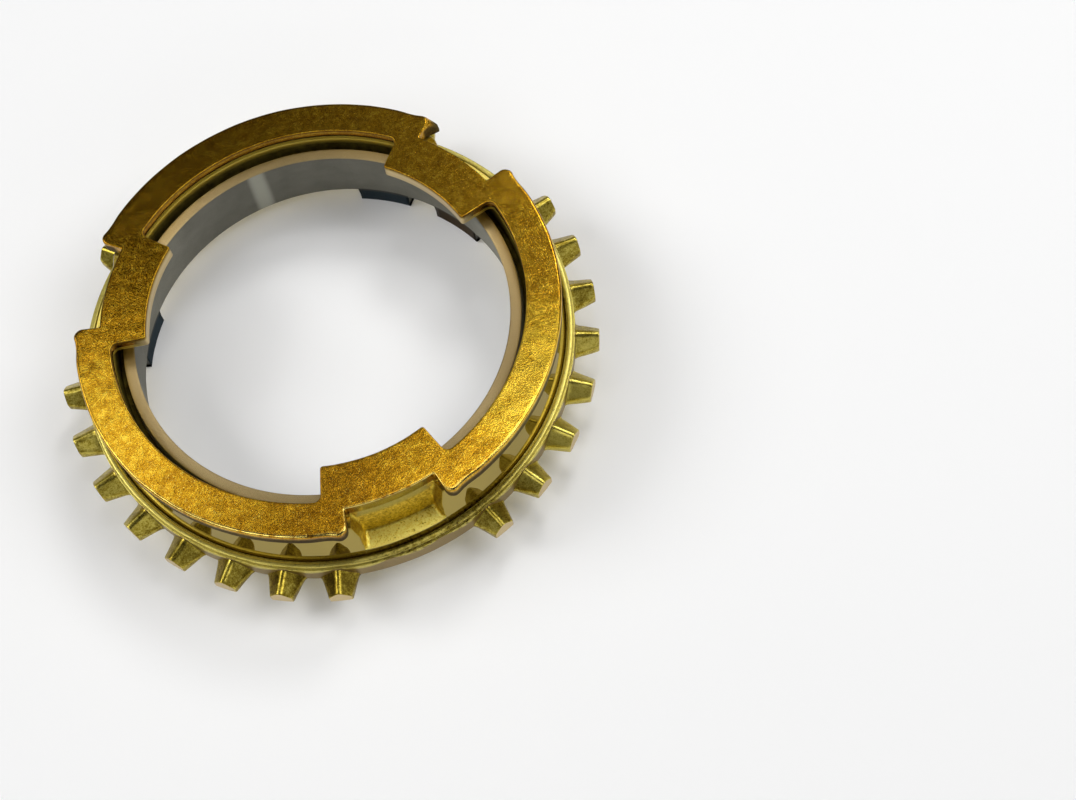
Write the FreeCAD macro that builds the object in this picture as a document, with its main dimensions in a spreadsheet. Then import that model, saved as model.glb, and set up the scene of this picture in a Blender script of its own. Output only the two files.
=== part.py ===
import FreeCAD, Part
import Sketcher
import math
import os
import re

# Synchronizer ring: a brass blocker ring that rests on a nested steel cone ring.
# Millimetres and degrees. Z is the gearbox shaft's axis, up towards the hub. The origin is on that
# axis, level with the feet of the cone ring's tabs. One lug of the blocker ring points along -Y.

SIZES = {
    # Cone ring: a short tapered tube with tabs below it.
    "cone_angle": (7.5, "half angle of every cone, from the axis"),
    "cone_bore": (82.0, "bore across the top land"),
    "cone_wall": (2.45, "wall, measured along a radius"),
    "cone_width": (16.6, "axial width without the tabs"),
    "cone_edge": (0.35, "chamfer on the rims of the tube"),
    "tab_depth": (4.5, "how far the tabs hang below the tube"),
    "tab_angle": (16.4, "width of a tab, as an angle"),
    "tab_setback": (0.15, "step from the ground bore out to the tab's inner face"),
    "tab_corner": (0.8, "chamfer on the lower corners of a tab"),
    "tab_root": (2.0, "overlap of tab and tube"),
    "tab_count": (3, "tabs in line with the lugs"),
    "key_tab_turn": (25.5, "extra tab, turned from the tab before it"),
    # Blocker ring: how it sits on the cone ring.
    "seat_gap": (0.05, "running clearance between the two cones"),
    "standoff": (3.1, "gear face above the tube's lower edge"),
    "lug_clearance": (2.0, "lugs and flange above the cone ring's top land"),
    "friction_width": (10.0, "axial width of the friction cone"),
    "flange_thickness": (3.2, "flange and lugs"),
    # Blocker ring: heights above the gear face.
    "slot_floor": (7.2, "floor of the key slots"),
    "ridge_height": (5.7, "top of the rim's ridge"),
    "band_height": (4.9, "trimmed outer band of the rim"),
    "channel_depth": (0.5, "channel floor below the ridge"),
    # Blocker ring: widths along a radius, from the friction cone outward.
    "bore_step": (0.99, "from the top of the friction cone out to the bore above it"),
    "lug_reach": (7.95, "how far the lugs reach inward from the bore"),
    "notch_wall": (2.05, "wall between the bore and the back of the notches"),
    "slot_draft": (1.0, "from the back of a notch out to the back of the slot at its floor"),
    "neck_wall": (3.0, "from the back of the notches out to the neck under the flange"),
    "neck_flare": (2.7, "how far the neck widens on its way down to the channel"),
    "channel_width": (0.4, "floor of the channel"),
    "ridge_width": (1.0, "ridge between channel and band"),
    "band_width": (0.5, "step from the ridge out to the root of the teeth"),
    "tooth_length": (5.2, "teeth, from rim to turned tips"),
    "flange_overhang": (2.4, "flange beyond the neck"),
    # Blocker ring: what repeats.
    "sector_count": (3, "lugs, notches and groups of teeth"),
    "lug_angle": (35.4, "width of a lug, as an angle"),
    "notch_angle": (24.0, "width of a notch in the flange"),
    "slot_angle": (20.2, "width of a key slot in the neck"),
    "teeth_per_group": (8, "teeth between two notches"),
    "tooth_pitch": (12.0, "angle from tooth to tooth"),
    "tooth_lead": (1.0, "turn of the teeth ahead of the lugs"),
    "tooth_root": (8.5, "width of a tooth at the rim"),
    "tooth_tip": (4.8, "width of a tooth at its tip"),
    "tooth_height": (5.1, "roof ridge above the gear face, at the rim"),
    "tooth_fall": (0.4, "fall of the roof ridge from rim to tip"),
    "roof_slope": (46.0, "slope of the roof facets"),
    "tooth_sink": (0.8, "how deep a tooth is rooted in the rim"),
    "tooth_over": (1.0, "forged length that the turning of the tips takes off"),
    "cut_over": (1.0, "how far a cutting profile reaches past the metal"),
    "oil_count": (6, "axial oil grooves in the friction cone"),
    "oil_angle": (2.4, "width of an oil groove, as an angle"),
    "oil_depth": (0.7, "depth of an oil groove"),
    # Edges.
    "lug_fillet": (1.6, "corner between lug and bore"),
    "slot_fillet": (1.4, "upright inner corners of the notches and slots"),
    "ear_fillet": (1.2, "upright outer corners where a notch cuts the flange"),
    "neck_corner": (0.8, "bevel from neck to flange"),
    "cast_edge": (0.45, "bevel on the forged edges of the hub face"),
    "lug_heading": (-90.0, "direction in which the first lug points"),
}

# Heights and radii that follow from the sizes above. Each is an expression in their names.
LEVELS = {
    "tube_foot": "tab_depth",
    "land": "tube_foot + cone_width",
    "gear_face": "tube_foot + standoff",
    "flange_under": "land + lug_clearance",
    "hub_face": "flange_under + flange_thickness",
    "notch_floor": "flange_under - neck_corner",
    "friction_top": "gear_face + friction_width",
    "slot_level": "gear_face + slot_floor",
    "ridge_top": "gear_face + ridge_height",
    "band_top": "gear_face + band_height",
    "channel_floor": "ridge_top - channel_depth",
    "taper": "tan(cone_angle * 1 deg)",
    "bore_at_land": "cone_bore / 2",
    "bore_at_foot": "bore_at_land + cone_width * taper",
    "wall_at_land": "bore_at_land + cone_wall",
    "wall_at_foot": "bore_at_foot + cone_wall",
    "wall_at_feet": "wall_at_foot + tab_depth * taper",
    "tab_bore": "bore_at_foot + tab_setback",
    "seat_at_face": "wall_at_foot + seat_gap - standoff * taper",
    "seat_at_top": "seat_at_face - friction_width * taper",
    "bore": "seat_at_top + bore_step",
    "lug_face": "bore - lug_reach",
    "notch_back": "bore + notch_wall",
    "slot_foot": "notch_back + slot_draft",
    "neck": "notch_back + neck_wall",
    "neck_foot": "neck + neck_flare",
    "ridge_inner": "neck_foot + channel_width",
    "ridge_outer": "ridge_inner + ridge_width",
    "rim": "ridge_outer + band_width",
    "tip": "rim + tooth_length",
    "flange": "neck + flange_overhang",
    "slot_lip": "(neck_foot + ridge_inner) / 2",
    "group_angle": "tooth_pitch * (teeth_per_group - 1)",
    "lug_centre": "(group_angle - 360 / sector_count) / 2 - tooth_lead",
    "root_half": "tooth_root / 2",
    "root_radius": "rim - tooth_sink",
    "reach": "tooth_sink + tooth_length",
    "stretch": "(reach + tooth_over) / reach",
    "end_half": "root_half - (tooth_root - tooth_tip) / 2 * stretch",
    "root_crest": "gear_face + tooth_height",
    "end_crest": "root_crest - tooth_fall * stretch",
    "steepness": "tan(roof_slope * 1 deg)",
    "root_eave": "root_crest - root_half * steepness",
    "end_eave": "end_crest - end_half * steepness",
}

# In an upright sketch plane the second axis is the part's Z axis.
UPRIGHT = FreeCAD.Vector(0, 1, 0)
TRUE_Z = FreeCAD.Vector(0, 0, 1)

# Limits for telling edges and volumes apart, in millimetres and cubic millimetres.
SAME_PLACE = 0.02
SAME_WALL = 0.05
UPRIGHT_LENGTH = 0.5
SAME_VOLUME = 1e-6


def bound(text):
    """The expression with every size named in the sheet and every level written out."""
    def swap(word):
        if word[0] in SIZES:
            return "sizes." + word[0]
        if word[0] in LEVELS:
            return "(" + bound(LEVELS[word[0]]) + ")"
        return word[0]
    return re.sub(r"[a-z_]+", swap, text)


def value(text):
    """The number that an expression gives with the sheet as it stands."""
    result = sheet.evalExpression(bound(text))
    return float(getattr(result, "Value", result))


def origin_plane(body, role):
    return [item for item in body.Origin.OriginFeatures if item.Role == role][0]


def outline(body, name, corners, role="XZ_Plane", turn=None, shift=None):
    """A closed profile. Each corner is a pair of expressions, measured from the sketch's origin."""
    sketch = body.newObject("Sketcher::SketchObject", name)
    sketch.AttachmentSupport = [(origin_plane(body, role), "")]
    sketch.MapMode = "FlatFace"
    points = [FreeCAD.Vector(value(across), value(up), 0) for across, up in corners]
    for start, end in zip(points, points[1:] + points[:1]):
        sketch.addGeometry(Part.LineSegment(start, end), False)
    for index in range(len(points)):
        follower = (index + 1) % len(points)
        sketch.addConstraint(Sketcher.Constraint("Coincident", index, 2, follower, 1))
    for index, (corner, point) in enumerate(zip(corners, points)):
        for kind, text, size in zip(("DistanceX", "DistanceY"), corner, (point.x, point.y)):
            number = sketch.addConstraint(Sketcher.Constraint(kind, -1, 1, index, 1, size))
            sketch.setExpression(f"Constraints[{number}]", bound(text))
    if turn:
        turning = FreeCAD.Rotation(UPRIGHT, value(turn))
        sketch.AttachmentOffset = FreeCAD.Placement(FreeCAD.Vector(), turning)
        sketch.setExpression("AttachmentOffset.Rotation.Angle", bound(turn))
    if shift:
        sketch.setExpression("AttachmentOffset.Base.z", bound(shift))
    return sketch


def revolved(body, kind, name, sketch, angle):
    """Material added (Revolution) or cut away (Groove) by turning a profile about the axis."""
    feature = body.newObject("PartDesign::" + kind, name)
    feature.Profile = sketch
    feature.ReferenceAxis = (sketch, ["V_Axis"])
    feature.setExpression("Angle", bound(angle))
    feature.Midplane = True
    return settled(body, feature)


def repeated(body, name, originals, count, angle="360"):
    pattern = body.newObject("PartDesign::PolarPattern", name)
    pattern.Originals = originals
    pattern.Axis = (origin_plane(body, "Z_Axis"), [""])
    pattern.setExpression("Occurrences", bound(count))
    pattern.setExpression("Angle", bound(angle))
    return settled(body, pattern)


def settled(body, feature):
    """Recompute, and stop if the feature did not change the body's volume."""
    before = body.Shape.Volume if not body.Shape.isNull() else 0.0
    body.Tip = feature
    doc.recompute()
    if "Invalid" in feature.State or feature.Shape.isNull() or not feature.Shape.isValid():
        raise RuntimeError(feature.Name + " failed")
    if abs(feature.Shape.Volume - before) < SAME_VOLUME:
        raise RuntimeError(feature.Name + " changed nothing")
    return feature


def named_edges(shape, chosen):
    """Names of the edges whose middle point passes the test."""
    names = []
    for number, edge in enumerate(shape.Edges, 1):
        middle = edge.valueAt((edge.FirstParameter + edge.LastParameter) / 2)
        ends = [vertex.Point for vertex in edge.Vertexes]
        if chosen(middle, ends):
            names.append(f"Edge{number}")
    return names


def finished_edges(body, kind, name, size, chosen):
    """A Fillet or Chamfer on the chosen edges of what the body has so far."""
    before = body.Tip
    feature = body.newObject("PartDesign::" + kind, name)
    feature.Base = (before, named_edges(before.Shape, chosen))
    feature.setExpression("Radius" if kind == "Fillet" else "Size", bound(size))
    return settled(body, feature)


def near(first, second, within=SAME_PLACE):
    return abs(first - second) < within


def radius_of(point):
    return math.hypot(point.x, point.y)


def at_height(level):
    """Test for edges that lie flat at a height."""
    height = value(level)
    return lambda middle, ends: near(middle.z, height) and all(near(end.z, height) for end in ends)


def ring_edge(radius, level):
    """Test for the edge of a turned surface."""
    wide, height = value(radius), value(level)
    return lambda middle, ends: near(radius_of(middle), wide) and near(middle.z, height)


def upright_at(radius):
    """Test for upright edges at a distance from the axis."""
    wide = value(radius)

    def chosen(middle, ends):
        first, last = ends[0], ends[-1]
        tall = abs(first.z - last.z) > UPRIGHT_LENGTH
        upright = near(radius_of(first), radius_of(last))
        return tall and upright and near(radius_of(middle), wide, SAME_WALL)
    return chosen


def across_foot():
    """Test for the short edges that run along a radius at the feet of the tabs."""
    at_foot = at_height("0")

    def chosen(middle, ends):
        return at_foot(middle, ends) and not near(radius_of(ends[0]), radius_of(ends[-1]), SAME_WALL)
    return chosen


def new_body(name):
    body = doc.addObject("PartDesign::Body", name)
    body.Label = name
    body.Placement = FreeCAD.Placement(FreeCAD.Vector(), FreeCAD.Rotation(TRUE_Z, 1))
    body.setExpression("Placement.Rotation.Angle", bound("lug_heading - lug_centre"))
    return body


def make_cone_ring():
    """The steel ring: one tapered tube, chamfered rims, and tabs that hang below it."""
    body = new_body("cone_ring")
    tube = outline(body, "tube_profile", [
        ("bore_at_foot", "tube_foot"),
        ("wall_at_foot", "tube_foot"),
        ("wall_at_land", "land"),
        ("bore_at_land", "land"),
    ])
    revolved(body, "Revolution", "tube", tube, "360")
    finished_edges(body, "Chamfer", "tube_rims", "cone_edge", lambda middle, ends: True)
    blade = outline(body, "tab_profile", [
        ("tab_bore", "0"),
        ("wall_at_feet", "0"),
        ("wall_at_foot - tab_root * taper", "tube_foot + tab_root"),
        ("tab_bore", "tube_foot + tab_root"),
    ], turn="lug_centre")
    tab = revolved(body, "Revolution", "tab", blade, "tab_angle")
    repeated(body, "tabs_in_line_with_lugs", [tab], "tab_count")
    repeated(body, "key_tab", [tab], "2", "360 / sector_count + key_tab_turn")
    finished_edges(body, "Chamfer", "tab_corners", "tab_corner", across_foot())
    return body


def make_blocker_ring():
    """The brass ring: a turned body, then what repeats three times, then the teeth."""
    body = new_body("blocker_ring")
    section = outline(body, "ring_profile", [
        ("seat_at_face", "gear_face"),
        ("rim", "gear_face"),
        ("rim", "band_top"),
        ("ridge_outer", "band_top"),
        ("ridge_outer", "ridge_top"),
        ("ridge_inner", "ridge_top"),
        ("ridge_inner", "channel_floor"),
        ("neck_foot", "channel_floor"),
        ("neck", "flange_under"),
        ("flange", "flange_under"),
        ("flange", "hub_face"),
        ("bore", "hub_face"),
        ("bore", "friction_top"),
        ("seat_at_top", "friction_top"),
    ])
    revolved(body, "Revolution", "turned_ring", section, "360")
    under_flange = ring_edge("neck", "flange_under")
    finished_edges(body, "Chamfer", "neck_top", "neck_corner", under_flange)
    add_lugs(body)
    cut_key_slots(body)
    cut_oil_grooves(body)
    add_teeth(body)
    finished_edges(body, "Chamfer", "cast_edges", "cast_edge", at_height("hub_face"))
    return body


def add_lugs(body):
    """Three lugs reach inward from the flange, with a filleted corner at each root."""
    profile = outline(body, "lug_profile", [
        ("lug_face", "flange_under"),
        ("notch_back", "flange_under"),
        ("notch_back", "hub_face"),
        ("lug_face", "hub_face"),
    ], turn="lug_centre")
    lug = revolved(body, "Revolution", "lug", profile, "lug_angle")
    repeated(body, "lugs", [lug], "sector_count")
    finished_edges(body, "Fillet", "lug_roots", "lug_fillet", upright_at("bore"))


def cut_key_slots(body):
    """In line with each lug: a notch through the flange, and a narrower slot below it in the neck."""
    notch_profile = outline(body, "notch_profile", [
        ("notch_back", "notch_floor"),
        ("flange + cut_over", "notch_floor"),
        ("flange + cut_over", "hub_face + cut_over"),
        ("notch_back", "hub_face + cut_over"),
    ], turn="lug_centre")
    notch = revolved(body, "Groove", "notch", notch_profile, "notch_angle")
    slot_profile = outline(body, "slot_profile", [
        ("slot_foot", "slot_level"),
        ("slot_lip", "slot_level"),
        ("slot_lip", "hub_face"),
        ("notch_back", "hub_face"),
        ("notch_back", "notch_floor"),
    ], turn="lug_centre")
    slot = revolved(body, "Groove", "slot", slot_profile, "slot_angle")
    repeated(body, "notches", [notch, slot], "sector_count")
    finished_edges(body, "Fillet", "slot_corners", "slot_fillet", upright_at("notch_back"))
    finished_edges(body, "Fillet", "ears", "ear_fillet", upright_at("flange"))


def cut_oil_grooves(body):
    """Grooves along the friction cone let the oil out when the cones close."""
    profile = outline(body, "oil_profile", [
        ("seat_at_face - cut_over", "gear_face"),
        ("seat_at_face + oil_depth", "gear_face"),
        ("seat_at_top + oil_depth", "friction_top"),
        ("seat_at_top - cut_over", "friction_top"),
    ], turn="lug_centre")
    groove = revolved(body, "Groove", "oil_groove", profile, "oil_angle")
    repeated(body, "oil_grooves", [groove], "oil_count")


def tooth_section(body, name, half, eave, crest, distance):
    """One end of a tooth: a flat foot, two flanks, and the two facets of the roof."""
    return outline(body, name, [
        (f"-({half})", "gear_face"),
        (half, "gear_face"),
        (half, eave),
        ("0", crest),
        (f"-({half})", eave),
    ], role="YZ_Plane", shift=distance)


def add_teeth(body):
    """One tooth lofted from rim to tip, repeated in each group, and all tips turned to one circle."""
    root = tooth_section(body, "tooth_root", "root_half", "root_eave", "root_crest", "root_radius")
    end = tooth_section(body, "tooth_end", "end_half", "end_eave", "end_crest", "tip + tooth_over")
    tooth = body.newObject("PartDesign::AdditiveLoft", "tooth")
    tooth.Profile = root
    tooth.Sections = [end]
    tooth.Ruled = True
    settled(body, tooth)
    teeth = body.newObject("PartDesign::MultiTransform", "teeth")
    in_group = body.newObject("PartDesign::PolarPattern", "teeth_in_group")
    in_group.Axis = (origin_plane(body, "Z_Axis"), [""])
    in_group.setExpression("Occurrences", bound("teeth_per_group"))
    in_group.setExpression("Angle", bound("group_angle"))
    groups = body.newObject("PartDesign::PolarPattern", "groups_of_teeth")
    groups.Axis = (origin_plane(body, "Z_Axis"), [""])
    groups.setExpression("Occurrences", bound("sector_count"))
    groups.Angle = 360
    teeth.Originals = [tooth]
    teeth.Transformations = [in_group, groups]
    settled(body, teeth)
    swarf = outline(body, "tip_profile", [
        ("tip", "gear_face - cut_over"),
        ("tip + tooth_over + cut_over", "gear_face - cut_over"),
        ("tip + tooth_over + cut_over", "ridge_top"),
        ("tip", "ridge_top"),
    ])
    revolved(body, "Groove", "turned_tips", swarf, "360")


doc = FreeCAD.newDocument("synchronizer_ring")
sheet = doc.addObject("Spreadsheet::Sheet", "sizes")
for row, (alias, (size, meaning)) in enumerate(SIZES.items(), 1):
    sheet.set(f"A{row}", meaning)
    sheet.set(f"B{row}", str(size))
    sheet.setAlias(f"B{row}", alias)
doc.recompute()

bodies = [make_cone_ring(), make_blocker_ring()]
doc.recompute()
for item in doc.Objects:
    if "Invalid" in item.State or "Error" in item.State:
        raise RuntimeError(item.Name + " is in error")
os.makedirs("parts", exist_ok=True)
for body in bodies:
    shape = body.Shape
    if shape.isNull() or not shape.isValid() or len(shape.Solids) != 1:
        raise RuntimeError(body.Label + " is not one valid solid")
    shape.exportStep(f"parts/{body.Label}.step")
    box = shape.BoundBox
    print(body.Label, "volume", round(shape.Volume, 1), "faces", len(shape.Faces))
    print("  from", [round(v, 2) for v in (box.XMin, box.YMin, box.ZMin)])
    print("  to", [round(v, 2) for v in (box.XMax, box.YMax, box.ZMax)])
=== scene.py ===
# %% [markdown]
# # Synchronizer ring
# The object is a brass blocker ring from a gearbox, which sits on a tapered steel ring.
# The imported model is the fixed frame: it gives the places and the overall sizes.
# Its meshes have flat facets, so both rings are made again here with smooth, rounded surfaces.

# %% Load the frame
import math

import bmesh
import bpy
import numpy as np
from mathutils import Matrix, Vector, noise


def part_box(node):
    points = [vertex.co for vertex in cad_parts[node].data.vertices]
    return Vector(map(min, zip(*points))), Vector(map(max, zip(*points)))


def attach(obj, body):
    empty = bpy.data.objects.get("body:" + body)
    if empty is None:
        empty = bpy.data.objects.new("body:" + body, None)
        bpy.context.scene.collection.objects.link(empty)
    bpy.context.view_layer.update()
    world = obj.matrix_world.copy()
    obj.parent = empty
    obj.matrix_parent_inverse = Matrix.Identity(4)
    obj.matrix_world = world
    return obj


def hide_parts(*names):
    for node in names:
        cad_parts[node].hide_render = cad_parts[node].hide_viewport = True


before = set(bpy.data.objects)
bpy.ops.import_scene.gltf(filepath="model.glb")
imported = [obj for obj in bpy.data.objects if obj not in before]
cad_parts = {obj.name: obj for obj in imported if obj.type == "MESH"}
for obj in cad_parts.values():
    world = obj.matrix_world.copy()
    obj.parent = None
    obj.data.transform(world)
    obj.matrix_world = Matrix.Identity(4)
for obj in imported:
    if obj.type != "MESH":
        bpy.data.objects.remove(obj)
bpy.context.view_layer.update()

print("frame nodes:", sorted(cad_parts))

# %% [markdown]
# ## Sizes
# Lengths are millimetres and angles are degrees until a mesh is made. Where the frame can
# give a height or a radius, it is read from there. The others are the ring's own sections,
# as they would stand on its drawing.

# %% Sizes
MM = 0.001
brass_low, brass_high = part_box("blocker_ring")
steel_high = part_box("cone_ring")[1]
GEAR_FACE = brass_low.z / MM
HUB_FACE = brass_high.z / MM
LAND = steel_high.z / MM
TIP = brass_high.x / MM

LUG_HEADINGS = (-90, 30, 150)
FLANGE_UNDER = HUB_FACE - 3.2
NECK_END = FLANGE_UNDER - 0.5
SLOT_FLOOR = GEAR_FACE + 7.2
CHANNEL_FLOOR = GEAR_FACE + 5.2
RIDGE_TOP = GEAR_FACE + 5.7
BAND_TOP = GEAR_FACE + 4.9
FRICTION_TOP = GEAR_FACE + 10.0
FLANGE, BORE, LUG, NOTCH = 52.4, 44.95, 37.0, 47.0
NECK_TOP, NECK_FOOT, SLOT_FOOT = 50.1, 52.7, 48.0
RIDGE_IN, RIDGE_OUT, RIM = 53.1, 54.1, 54.6
SEAT_FOOT, SEAT_TOP = 45.28, 43.96
LUG_HALF, NOTCH_HALF, SLOT_HALF = 17.7, 12.0, 10.1
print("hub face", round(HUB_FACE, 2), "gear face", round(GEAR_FACE, 2), "tips", round(TIP, 2))

# %% [markdown]
# ## Sections and meshes
# A ring is easiest to read as a section drawn once and carried round the axis. The section is a
# line with rounded corners. Its points crowd into the bends, where light shows every facet,
# and thin out along the straights.

# %% Sections


def section(corners, rounds, count, bend=1.2):
    """Points along a line with rounded corners, closer together where the line bends."""
    corners = [np.array(corner, float) for corner in corners]
    line = [corners[0]]
    for before, corner, after, size in zip(corners, corners[1:], corners[2:], rounds):
        start = corner + size * (before - corner) / np.linalg.norm(before - corner)
        end = corner + size * (after - corner) / np.linalg.norm(after - corner)
        for t in np.linspace(0, 1, 9):
            line.append((1 - t) ** 2 * start + 2 * t * (1 - t) * corner + t ** 2 * end)
    line = np.array(line + [corners[-1]])
    steps = np.diff(line, axis=0)
    heading = np.unwrap(np.arctan2(steps[:, 1], steps[:, 0]))
    turn = np.abs(np.diff(heading, prepend=heading[0]))
    measure = np.concatenate([[0], np.cumsum(np.hypot(*steps.T) + bend * turn)])
    wanted = np.linspace(0, measure[-1], count)
    return np.stack([np.interp(wanted, measure, line[:, axis]) for axis in (0, 1)], 1)


# %% [markdown]
# Where a swelling or a finish begins and ends is written with three simple curves.

# %% Curves


def rise(value, start, width):
    """0 up to a start, then growing to 1 over a width."""
    return np.clip((value - start) / width, 0, 1)


def fall(value, start, width):
    """1 up to a start, then sinking to 0 over a width."""
    return 1 - rise(value, start, width)


def hump(value, centre, width):
    """1 at a centre, fading out on both sides."""
    return np.exp(-((value - centre) / width) ** 2)


# %% [markdown]
# A mesh is a grid of points that closes on itself, and each point keeps a weight for every
# finish. Forged skin is uneven, so noise then pushes its points in and out.

# %% Meshes


def grid_faces(rows, columns):
    """Quads of a grid that closes on itself in both directions."""
    row, column = np.meshgrid(np.arange(rows), np.arange(columns), indexing="ij")
    next_row, next_column = (row + 1) % rows, (column + 1) % columns
    corners = [(row, column), (row, next_column), (next_row, next_column), (next_row, column)]
    return np.stack([a * columns + b for a, b in corners], -1).reshape(-1, 4)


def signed_volume(points, quads):
    """Volume inside a closed mesh, which is negative when its faces point inwards."""
    first, second, third, fourth = (points[quads[:, corner]] for corner in range(4))
    return np.sum(first * (np.cross(second, third) + np.cross(third, fourth))) / 6


def add_paint(mesh, name, amounts):
    """Keeps one weight per point as an attribute."""
    attribute = mesh.attributes.new(name, "FLOAT", "POINT")
    attribute.data.foreach_set("value", np.asarray(amounts, np.float32).ravel())


def put_in_scene(name, data):
    """A new object that stands in the scene."""
    thing = bpy.data.objects.new(name, data)
    bpy.context.scene.collection.objects.link(thing)
    return thing


def make_mesh(name, points, faces, paints):
    """A smooth mesh with outward faces and one point attribute for each paint."""
    if signed_volume(points, faces) < 0:
        faces = faces[:, ::-1]
    mesh = bpy.data.meshes.new(name)
    mesh.from_pydata((points * MM).tolist(), [], faces.tolist())
    for paint, amounts in paints.items():
        add_paint(mesh, paint, amounts)
    mesh.shade_smooth()
    mesh.update()
    print(name, "has", len(mesh.vertices), "points and", len(mesh.polygons), "faces")
    return put_in_scene(name, mesh)


def roughen(piece, amounts, wave):
    """Push points along their normals by smooth noise, as a forging is uneven.

    The hub face only sinks, so that the ring does not grow taller than its frame.
    """
    mesh = piece.data
    normals = [vertex.normal.copy() for vertex in mesh.vertices]
    for vertex, normal, amount in zip(mesh.vertices, normals, amounts):
        if amount:
            place = vertex.co / (wave * MM)
            push = noise.noise(place) + 0.5 * noise.noise(place * 2.3)
            if vertex.co.z > (HUB_FACE - 0.05) * MM:
                normal, push = Vector((0, 0, 1)), -abs(push)
            vertex.co += normal * push * amount * MM
            vertex.co.z = min(vertex.co.z, HUB_FACE * MM)
    mesh.update()


# %% [markdown]
# ## The blocker ring's body
# The real ring is forged brass, then turned. It repeats every 120 degrees, and each third is
# symmetrical about its lug: a lug reaches inward, a notch cuts the flange behind it, and a
# narrower slot below the notch takes a sliding key. It could be cut from a turned ring with
# booleans, but those leave hard seams. Here each row of the section follows its own outline
# round the ring, so that every wall, fillet and rounded edge is one clean sheet of quads.

# %% Stations round the ring
HALF = 60.0
WINDOWS = {"slot": (9.0, 11.0), "notch": (12.05, 13.9), "lug": (15.8, 17.65)}
ROUND_POINTS = 5
STEP_POINTS = 13
PLAIN_STEP = 0.7


def make_stations():
    """Angles from a lug's centre to midway between lugs, dense where an outline steps."""
    angles, spans = [0.0], {}
    for name, (start, end) in WINDOWS.items():
        plain = max(2, round((start - angles[-1]) / PLAIN_STEP))
        angles += list(np.linspace(angles[-1], start, plain + 1)[1:-1])
        spans[name] = slice(len(angles), len(angles) + STEP_POINTS)
        angles += list(np.linspace(start, end, STEP_POINTS))
    plain = round((HALF - angles[-1]) / PLAIN_STEP)
    angles += list(np.linspace(angles[-1], HALF, plain + 1)[1:])
    return np.array(angles), spans


STATIONS, SPANS = make_stations()
print(len(STATIONS), "stations in half a third of the ring")


def step(inner, outer, wall, inner_round, outer_round):
    """Radii and angles along a wall that joins two arcs, with a rounded corner at each end."""
    room = min(1.0, 0.95 * abs(outer - inner) / max(inner_round + outer_round, 1e-6))
    near_end, far_end = inner_round * room, outer_round * room
    sign = 1.0 if outer >= inner else -1.0
    quarter = np.linspace(0, math.pi / 2, ROUND_POINTS)
    straight = STEP_POINTS - 2 * ROUND_POINTS
    between = np.linspace(inner + sign * near_end, outer - sign * far_end, straight + 2)[1:-1]
    radii = np.concatenate([
        inner + sign * near_end * (1 - np.cos(quarter)),
        between,
        outer - sign * far_end * (1 - np.sin(quarter)),
    ])
    across = np.concatenate([
        -near_end * (1 - np.sin(quarter)),
        np.zeros(straight),
        far_end * (1 - np.cos(quarter)),
    ])
    return radii, wall + np.degrees(across / radii)


def outline(window, inner, outer, wall, inner_round, outer_round):
    """Radius and angle at every station of an outline that steps once."""
    start, end = WINDOWS[window]
    radii, angles = step(inner, outer, wall, inner_round, outer_round)
    radius = np.where(STATIONS < start, inner, outer)
    known, placed = [0.0, start, end, HALF], [0.0, angles[0], angles[-1], HALF]
    if window == "notch":
        # The rows of the flange line up with the slot's side walls below them.
        known[1:1], placed[1:1] = WINDOWS["slot"], (WALL_HALVES[-1] - 0.5, WALL_HALVES[-1] - 0.3)
    angle = np.interp(STATIONS, known, placed)
    radius[SPANS[window]], angle[SPANS[window]] = radii, angles
    return radius, angle


def plain_row(radius, height):
    """A row that runs round the ring as a circle."""
    return np.full(len(STATIONS), radius), STATIONS.copy(), np.full(len(STATIONS), height)


# %% [markdown]
# The flange's edge carries small ears beside each notch, where the forging tool let metal
# rise. They are a short swelling of the outline, with a shallow dip next to it. The slot below
# needs two lines of the section at once, one inside the slot and one outside it, and each row
# of the neck steps from one line to the other at the slot's side wall.

# %% Rows of the section
EAR, EAR_AT, EAR_WIDTH = 0.3, 13.9, 1.1
DIP, DIP_AT, DIP_WIDTH = 0.15, 17.5, 2.0
NOTCH_CORNERS, LUG_CORNERS, SLOT_CORNERS = (0.5, 1.4), (0.65, 1.6), (0.6, 0.35)
NOTCH_SHARE = 0.35
NECK_SLOPE = (NECK_FOOT - NECK_TOP) / (NECK_END - CHANNEL_FLOOR)
LIP_AT = NECK_FOOT - NECK_SLOPE * (SLOT_FLOOR - CHANNEL_FLOOR)
SLOT_LEAN, LEAST_STEP = 0.8, 1.0
WALL_LEVELS, WALL_HALVES = (SLOT_FLOOR, SLOT_FLOOR + 4.2, NECK_END), (9.9, 10.2, 11.5)
WALL_REACH = 15.0
OIL_DEPTH, OIL_HALF, OIL_WALL = 0.7, 1.2, 0.7


def flange_row(inset, drop, level):
    """The flange's outer outline, moved into the metal by an inset and away from a level by a drop.

    The corner wears round along the outside but stays sharper inside the notch.
    """
    small = inset * NOTCH_SHARE
    shift = math.degrees(small / FLANGE)
    radius, angle = outline("notch", NOTCH - small, FLANGE - inset, NOTCH_HALF + shift, *NOTCH_CORNERS)
    swelling = EAR * hump(angle, EAR_AT, EAR_WIDTH) - DIP * hump(angle, DIP_AT, DIP_WIDTH)
    share = np.clip((radius - NOTCH) / (FLANGE - NOTCH), 0, 1)
    worn = NOTCH_SHARE + (1 - NOTCH_SHARE) * share ** 2
    return radius + swelling * share, angle, level + drop * worn


def lug_row(inset, height, proud=0.0):
    """The inner outline with its lugs, moved into the metal by an inset."""
    shift = math.degrees(inset / LUG)
    corners = (LUG_CORNERS[0] - inset, LUG_CORNERS[1] + inset)
    radius, angle = outline("lug", LUG + inset, BORE - proud + inset, LUG_HALF - shift, *corners)
    return radius, angle, np.full(len(STATIONS), height)


# %% Rows of the neck and of the friction cone


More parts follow.
